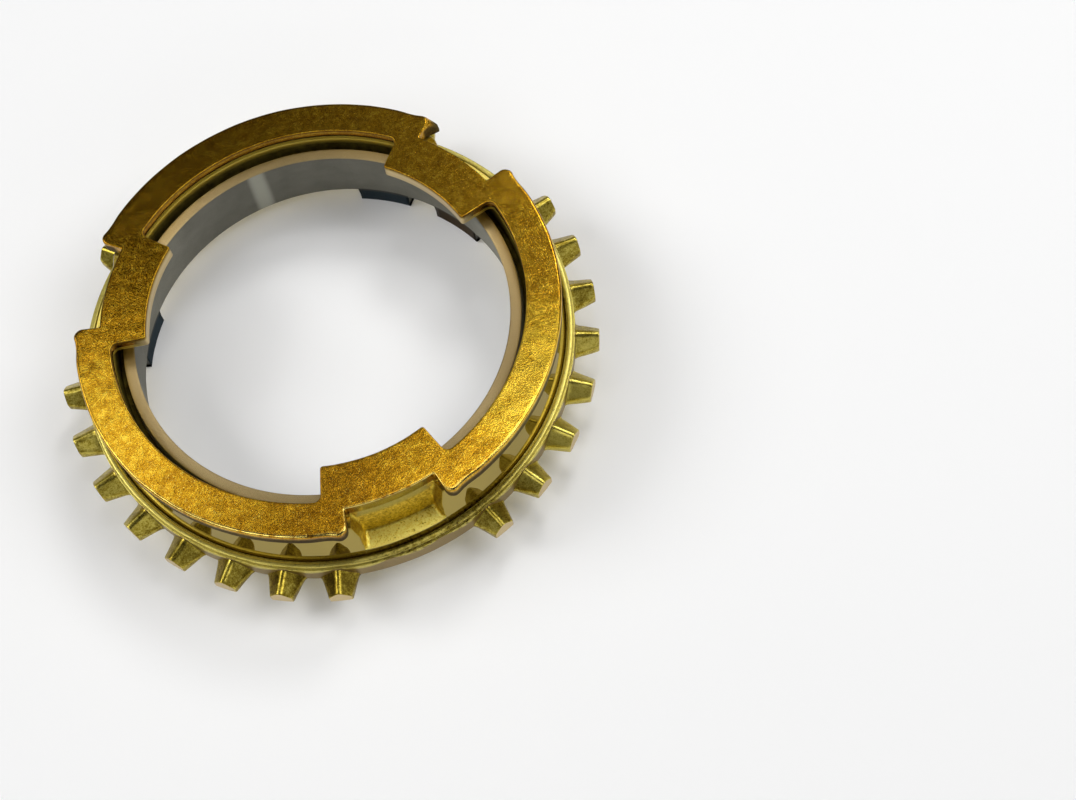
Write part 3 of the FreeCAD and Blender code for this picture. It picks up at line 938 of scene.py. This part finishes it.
def wear_dirt_and_painted_light(finish, colour, blotches):
    """Edges get wear with a painted highlight on the side toward the camera, and scale with painted
    shade on the far side. Dirt and painted shade fill the corners.
    """
    lit_side = finish.toward(-104, 75)
    worn = finish.paint("worn")
    return finish.layer(
        colour,
        # Painted highlight with wear on the edges toward the camera, painted shade with scale on the far
        # edges.
        (WORN_AND_HIGHLIGHT_COLOUR, worn * lit_side * blotches.between(0.3, 0.5) * 0.9),
        (SCALE_AND_SHADE_COLOUR, worn * (1 - lit_side) * 0.75),
        # Wear with a painted highlight along the slots' lips.
        (WORN_AND_HIGHLIGHT_COLOUR, finish.paint("rubbed")),
        (LIP_COLOUR, finish.paint("lip") * 0.5),
        # Scale and painted shade on the flange's outer wall and in a thin line along the hub face's
        # inner edge.
        (SCALE_AND_SHADE_COLOUR, finish.paint("scale") * (0.9 + blotches * 0.1)),
        # Dirt and painted shade in the recesses.
        (DIRT_AND_SHADE_COLOUR, (finish.paint("grime") * (0.6 + blotches * 0.6)).clamped()),
    )


# %% [markdown]
# Roughness follows the same paints: the polished neck is a mirror, and scale, dirt and painted shade are
# rough.
# The relief is fine bump only, coarse for the forged skin and very fine for turned rings,
# because every edge, step and dent that is large enough to see is already in the mesh.

# %% Brass finish


def brass_roughness(finish, specks):
    """How rough each surface is, from the polished neck to scale, dirt and painted shade."""
    polished = finish.paint("polished")
    cleaned = (1 - finish.paint("gold")) * (1 - polished) * 0.10
    roughness = 0.17 + specks * 0.08 + cleaned + finish.paint("grime") * 0.25 - polished * 0.18
    roughness = roughness + finish.paint("turned") * 0.12 + finish.paint("slot_floor") * 0.2
    roughness = roughness + finish.paint("scale") * 0.4 + finish.paint("rubbed") * 0.25
    return (roughness + finish.paint("rim") * 0.08).clamped()


def brass_relief(finish, blotches, leather, specks, rings, band):
    """Pairs of a height and its depth in millimetres."""
    turned = finish.paint("turned")
    forged = (1 - finish.paint("polished") * 0.98) * (1 - turned * 0.9) * (1 - band)
    slot = finish.paint("slotted") * 0.6 + finish.paint("slot_floor")
    return [
        (blotches * forged, 0.010),
        (leather * forged * (0.75 + finish.toward(-90, 60) * 0.25), 0.018),
        (specks * forged, 0.015),
        ((leather * 0.6 + specks * 0.4) * slot, 0.09),
        (rings * (turned + band), 0.01),
    ]


def brass_finish():
    """The forged, turned and worn brass of the body and the teeth."""
    finish = Finish("forged_brass", metallic=1.0)
    blotches = finish.grain(2.4, 3.0, 0.6)
    leather = finish.grain(0.7, 4.0, 0.6)
    specks = finish.grain(0.32, 2.0, 0.6)
    rings = finish.grain(1.0, 3.0, 0.6, finish.around(0.35, 9.0))
    band = band_mask(finish)
    colour = forged_skin(finish, blotches, leather, specks)
    colour = lumpy_rim(finish, colour)
    colour = cut_faces(finish, colour, leather, specks, rings, band)
    colour = wear_dirt_and_painted_light(finish, colour, blotches)
    metallic = 1 - finish.paint("scale") * 0.3
    heights = brass_relief(finish, blotches, leather, specks, rings, band)
    return finish.wear(colour, brass_roughness(finish, specks), metallic=metallic, heights=heights)


BRASS = brass_finish()
print(BRASS.name, "has", len(BRASS.node_tree.nodes), "nodes")

# %% [markdown]
# Now the tree runs with the ring's own numbers. Like the body, the finished teeth are pushed in
# and out a little, all but their turned tips.

# %% Place the teeth
TOOTH_UNEVEN, TOOTH_WAVE = 0.05, 3.0
teeth_tree, teeth_inputs = make_teeth_tree()
teeth = grow("ring_teeth", teeth_tree, teeth_inputs, {
    "Tooth": tooth,
    "Teeth per group": TEETH_PER_GROUP,
    "Groups": GROUPS,
    "Pitch": PITCH,
    "First tooth": FIRST_TOOTH,
    "Finish": BRASS,
})
tips = np.zeros(len(teeth.data.vertices), np.float32)
teeth.data.attributes["turned"].data.foreach_get("value", tips)
roughen(teeth, TOOTH_UNEVEN * (1 - tips), TOOTH_WAVE)
teeth.data.shade_smooth()

# %% [markdown]
# ## The steel cone ring
# The inner ring is ground steel: a short taper that the brass ring grips. Below it hang tabs
# that hold it in the next part, and those kept their dark blue scale. Its section has two
# forms, with and without a tab, and at each tab's side the rows run from one to the other.

# %% Cone ring
TUBE_FOOT = 4.5
BORE_FOOT, WALL_FOOT, WALL_LAND, BORE_LAND = 43.185, 45.635, 43.45, 41.0
TAB_BORE, TAB_WALL, TAB_HALF, TAB_LEAN = 43.34, 46.2, 8.2, 0.7
EXTRA_TAB = 55.5
FOOT_EDGE, FOOT_TAPER = 0.7, 0.09
FOOT_ROUNDS, TAB_ROUNDS, LAND_ROUNDS = [0.3, 0.3], [0.1, 0.35, 0.35], [0.3, 0.22]
TAB_HEADINGS = (-90.0, 30.0, EXTRA_TAB, 150.0)
TAB_STEP = [(-0.14, 0.0), (-0.05, 0.0), (0.0, 0.12), (0.0, 0.5), (0.0, 0.88), (0.05, 1.0), (0.14, 1.0)]


def cone_stations():
    """Angle, share of tab and side of the tab at each station round the whole ring."""
    made = []
    last = TAB_HEADINGS[-1] + TAB_HALF + 0.2 - 360
    for centre in TAB_HEADINGS:
        start, end = centre - TAB_HALF, centre + TAB_HALF
        free = max(2, round(start - last))
        made += [(angle, 0.0, 0.0) for angle in np.linspace(last, start - 0.2, free)[1:]]
        made += [(start + shift, share, 1.0) for shift, share in TAB_STEP]
        made += [(angle, 1.0, 0.0) for angle in np.linspace(start + 0.2, end - 0.2, 14)]
        made += [(end - shift, share, -1.0) for shift, share in TAB_STEP[::-1]]
        made += [(end + 0.2, 0.0, 0.0)]
        last = end + 0.2
    return np.array(made)


def cone_rows():
    """Section points without a tab, and the same rows with one."""
    low_in, low_out = ((foot - FOOT_TAPER, TUBE_FOOT + FOOT_EDGE) for foot in (BORE_FOOT, WALL_FOOT))
    foot = [low_in, (BORE_FOOT, TUBE_FOOT), (WALL_FOOT, TUBE_FOOT), low_out]
    tab = [low_in, (TAB_BORE, TUBE_FOOT - 0.1), (TAB_BORE, 0), (TAB_WALL, 0), low_out]
    land = [low_out, (WALL_LAND, LAND), (BORE_LAND, LAND), low_in]
    plain, tabbed = section(foot, FOOT_ROUNDS, 28), section(tab, TAB_ROUNDS, 28)
    upper = section(land, LAND_ROUNDS, 34)[1:-1]
    return np.concatenate([plain, upper]), np.concatenate([tabbed, upper])


def make_cone_ring():
    """The tube and its tabs as one closed grid of rows and stations."""
    stations = cone_stations()
    plain, tabbed = cone_rows()
    share, side = stations[:, 1], stations[:, 2]
    section_points = plain[:, None, :] + (tabbed - plain)[:, None, :] * share[None, :, None]
    depth = np.clip((TUBE_FOOT - section_points[..., 1]) / TUBE_FOOT, 0, 1)
    angle = np.radians(stations[:, 0] + side * TAB_LEAN * depth * share)
    wide, tall = section_points[..., 0], section_points[..., 1]
    points = np.stack([wide * np.cos(angle), wide * np.sin(angle), tall], -1)
    below = fall(tall, TUBE_FOOT - 0.35, 0.25)
    # The root weight marks the tabs' roots, where a near black line is painted shade.
    paints = {"tab": below * share, "root": hump(tall, TUBE_FOOT, 0.3) * share}
    return make_mesh("steel_ring", points.reshape(-1, 3), grid_faces(*wide.shape), paints)


steel_ring = make_cone_ring()

# %% [markdown]
# Ground steel shows its grinding. Inside, the marks run round the bore, and they are cut as a
# very fine bump, so that a lamp spreads into an upright line of light. A bright upright line on
# the far side of the bore is also painted in, as a highlight. The land on top was dressed by
# hand and has slanting scratches and a warm tint.

# %% Steel finish
STEEL_STOPS = [(0.0, (0.14, 0.136, 0.108)), (1.0, (0.24, 0.233, 0.195))]
LAND_STOPS = [(0.0, (0.33, 0.24, 0.10)), (1.0, (0.68, 0.52, 0.26))]
LAND_SHADE = (0.36, 0.26, 0.12)
# Painted shade: brown on the tab under one lug, and near black along the tabs' roots.
BROWN_SHADE, ROOT_SHADE = (0.05, 0.033, 0.017), (0.01, 0.01, 0.01)
# Colour of the painted upright highlight inside the bore.
STREAK_HIGHLIGHT_COLOUR = (0.50, 0.50, 0.42)
TAB_STOPS = [(0.0, (0.012, 0.020, 0.026)), (1.0, (0.045, 0.062, 0.072))]


def steel_finish():
    """Ground steel with one painted upright highlight in the bore, a tinted land on top and dark tabs
    below.
    """
    finish = Finish("ground_steel", metallic=1.0, anisotropic=0.9, anisotropic_rotation=0.25)
    marks = finish.grain(1.0, 2.0, 0.6, finish.around(0.15, 12.0))
    cloud = finish.grain(6.0, 3.0, 0.6)
    scratches = finish.grain(1.0, 3.0, 0.6, finish.stretched((6000, 300, 300), (0, 0, 52)))
    on_land = finish.z.between(LAND - 0.35, LAND - 0.15)
    tab = finish.paint("tab")
    ground = finish.ramp((marks * 0.6 + cloud * 0.4).between(0.3, 0.7), STEEL_STOPS)
    land = finish.ramp(scratches.between(0.3, 0.7), LAND_STOPS)
    land = finish.blend(land, LAND_SHADE, finish.toward(-15, 45) * 0.7)
    # Painted shade: the tab under the lug at heading 30 is dark brown.
    tab_scale_and_shade = finish.blend(finish.ramp(cloud, TAB_STOPS), BROWN_SHADE, finish.toward(30, 12))
    # Painted highlight: a narrow upright line at heading 93 inside the bore.
    streak_highlight = finish.toward(93, 3.5) * (0.6 + marks * 0.4)
    ground = finish.blend(ground, STREAK_HIGHLIGHT_COLOUR, streak_highlight)
    # Painted shade along the roots of the tabs.
    root_shade = (finish.paint("root") * 0.8).clamped()
    colour = finish.layer(ground, (land, on_land), (tab_scale_and_shade, tab), (ROOT_SHADE, root_shade))
    roughness = 0.42 + cloud * 0.1 + tab * 0.1
    cut = marks * (1 - on_land) * (1 - tab)
    heights = [(cut, 0.012), (scratches * on_land, 0.02), (cloud * tab, 0.1)]
    return finish.wear(colour, roughness, heights=heights)


steel_ring.data.materials.append(steel_finish())
body.data.materials.append(BRASS)

# %% [markdown]
# ## Standing for the frame's nodes
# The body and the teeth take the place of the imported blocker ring, the steel ring that of the
# packed cone ring. Nothing moves, so all of them ride on the root.

# %% Pieces and nodes
PIECES = (
    (body, "blocker_ring", "forged_brass"),
    (teeth, "blocker_ring", "forged_brass"),
    (steel_ring, "cone_ring", "ground_steel"),
)
for piece, node, slot in PIECES:
    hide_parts(node)
    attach(piece, "root")
    print(piece.name, "stands for", node)

# %% [markdown]
# ## Floor, light and camera
# The ring lies on a plain white floor. The floor looks white to the camera and to the metal,
# but lights the object only as a pale floor does: its glow counts for rays from the camera and
# for mirrored rays alone. Far off, where the lamps do not reach, the glow makes up for them.

# %% Floor
FLOOR_SIZE = 6.0
FLOOR_DROP = 0.02
FLOOR_COLOUR = (0.88, 0.88, 0.88, 1.0)
NO_GLOW, NEAR_GLOW, FAR_GLOW = (0, 0, 0), (0.1, 0.1, 0.1), (0.93, 0.93, 0.93)
GLOW_FROM, GLOW_TO = 0.2, 1.0


def shown_rays(nodes):
    """Camera, mirrored and transmitted rays, each as a mask."""
    kinds = ("Is Camera Ray", "Is Glossy Ray", "Is Transmission Ray")
    return [nodes.node("ShaderNodeLightPath", output=kind) for kind in kinds]


def make_floor():
    """A wide square just below the tabs' feet."""
    half = FLOOR_SIZE / 2
    level = -FLOOR_DROP * MM
    mesh = bpy.data.meshes.new("floor")
    corners = [(-half, -half, level), (half, -half, level), (half, half, level), (-half, half, level)]
    mesh.from_pydata(corners, [], [(0, 1, 2, 3)])
    floor = put_in_scene("floor", mesh)
    finish = Finish("white_floor", roughness=0.9, base_color=FLOOR_COLOUR)
    seen, mirrored, through = shown_rays(finish)
    shown = (seen + mirrored + through).clamped()
    far = (finish.radius * MM).between(GLOW_FROM, GLOW_TO)
    near_glow = finish.blend(NO_GLOW, NEAR_GLOW, shown)
    glow = finish.blend(near_glow, FAR_GLOW, shown * far)
    finish.tree.links.new(glow.socket, finish.shader.inputs["Emission Color"])
    finish.shader.inputs["Emission Strength"].default_value = 1.0
    finish.shader.inputs["Specular IOR Level"].default_value = 0.0
    mesh.materials.append(finish.material)
    return floor


floor = make_floor()
print("floor", FLOOR_SIZE, "m wide")

# %% [markdown]
# Metal shows what it mirrors, so the light is many small soft lamps. The level hub face mirrors
# those high behind the ring, the bore and the steel mirror those in front, and the roofs of the
# teeth mirror those at the sides. Each line of the table is one round lamp.

# %% Lamps
AIM_AT = (0, 0, 0.01)


def aim(thing, target):
    """Turns a lamp's -Z axis to a place."""
    direction = Vector(target) - thing.location
    thing.rotation_euler = direction.to_track_quat("-Z", "Y").to_euler()


def lamp(name, heading, elevation, distance, size, power):
    """An area lamp that looks at the ring from a heading and an elevation, in degrees."""
    light = bpy.data.lights.new(name, "AREA")
    light.shape, light.size, light.energy = "DISK", size, power
    thing = put_in_scene(name, light)
    turn, slope = math.radians(heading), math.radians(elevation)
    level = math.cos(slope)
    thing.location = distance * Vector((math.cos(turn) * level, math.sin(turn) * level, math.sin(slope)))
    aim(thing, AIM_AT)
    return thing


# name: heading, elevation, distance and width in metres, power in watts
LAMPS = {
    "key": (-14, 50, 0.9, 0.5, 2.9),
    "back": (46, 50, 0.9, 0.25, 1.6),
    "window": (150, 40, 1.5, 0.75, 7.2),
    "left": (166, 50, 0.9, 0.4, 1.0),
    "front_left": (-149, 50, 0.9, 0.4, 0.95),
    "low_left": (-134, 30, 0.9, 0.2, 0.11),
    "low_front": (-104, 30, 0.9, 0.2, 0.21),
    "low_right": (-74, 30, 0.9, 0.2, 0.16),
    "glow_right": (46, 72, 0.9, 0.15, 0.40),
    "glow_left": (116, 62, 0.9, 0.15, 0.15),
    "glow_top": (76, 76, 0.9, 0.2, 0.24),
    "glow_back": (76, 55, 0.9, 0.3, 0.018),
}
for name, values in LAMPS.items():
    lamp(name, *values)
print(len(LAMPS), "lamps")

# %% [markdown]
# The room is dark, with a pale horizon on the right, which the outer edges of the teeth and the
# rim mirror. The dark round it gives polished brass its contrast. Low down, mirrored rays also
# meet a faint haze all round, so that the neck is not black from behind. Seen directly, the
# room is white.

# %% World
WORLD_DARK, WORLD_HORIZON = 0.015, 0.55
BRIGHT_HEADING, BRIGHT_SPAN, LOW_SPAN = -45.0, (0.3, 0.95), (0.25, 0.65)
HAZE, HAZE_SPAN = 0.4, (0.04, 0.45)


def make_world():
    """Strength by the height and the side of the sky, and white where the camera sees it."""
    world = bpy.data.worlds.new("studio")
    bpy.context.scene.world = world
    world.use_nodes = True
    sky = Nodes(world.node_tree)
    x, y, z = sky.split(sky.node("ShaderNodeTexCoord", output="Generated"))
    turn = math.radians(BRIGHT_HEADING)
    low = 1 - z.between(*LOW_SPAN)
    bright = (x * math.cos(turn) + y * math.sin(turn)).between(*BRIGHT_SPAN)
    strength = WORLD_DARK + low * bright * WORLD_HORIZON
    seen, mirrored, through = shown_rays(sky)
    haze = (1 - z.between(*HAZE_SPAN)) * HAZE
    white = (seen + mirrored * haze + through).clamped()
    background = world.node_tree.nodes["Background"]
    background.inputs["Color"].default_value = (1, 1, 1, 1)
    shown = strength * (1 - white) + white
    world.node_tree.links.new(shown.socket, background.inputs["Strength"])
    return world


world = make_world()
bpy.context.scene.view_settings.view_transform = "Standard"
print(world.name, "has", len(world.node_tree.nodes), "nodes")

# %% [markdown]
# The camera stands where the photograph was taken from. Its place follows from the pixel on
# which one point of the ring's axis falls, a little above the tabs' feet, and from the camera's
# distance, slope, roll and heading.

# %% Camera
IMAGE_WIDTH, IMAGE_HEIGHT = 1076, 800
FOCAL_PIXELS = 1599.04
SENSOR = 36.0
ELEVATION, ROLL, HEADING = 64.836, -9.063, -13.81
TARGET_PIXEL = (335.066, 351.954)
TARGET_HEIGHT = 4.7
DISTANCE = 363.965
NEAREST_SEEN = 0.01


def place_camera():
    """Turns and places the camera so that the target falls on its pixel."""
    slope, roll = math.radians(ELEVATION), math.radians(ROLL)
    forward = Vector((0, math.cos(slope), -math.sin(slope)))
    upward = Vector((0, math.sin(slope), math.cos(slope)))
    right = Vector((1, 0, 0))
    image_right = math.cos(roll) * right + math.sin(roll) * upward
    image_up = math.cos(roll) * upward - math.sin(roll) * right
    across = (TARGET_PIXEL[0] - IMAGE_WIDTH / 2) / FOCAL_PIXELS
    down = (TARGET_PIXEL[1] - IMAGE_HEIGHT / 2) / FOCAL_PIXELS
    to_target = (forward + image_right * across - image_up * down).normalized()
    axes = Matrix((image_right, image_up, -forward)).transposed().to_4x4()
    place = Matrix.Translation(-to_target * DISTANCE * MM) @ axes
    turn = Matrix.Rotation(math.radians(HEADING), 4, "Z")
    data = bpy.data.cameras.new("camera")
    data.sensor_width = SENSOR
    data.lens = FOCAL_PIXELS * SENSOR / IMAGE_WIDTH
    data.clip_start = NEAREST_SEEN
    camera = put_in_scene("camera", data)
    camera.matrix_world = Matrix.Translation((0, 0, TARGET_HEIGHT * MM)) @ turn @ place
    bpy.context.scene.camera = camera
    return camera


camera = place_camera()
print("camera at", [round(value, 4) for value in camera.location], "lens", round(camera.data.lens, 2))
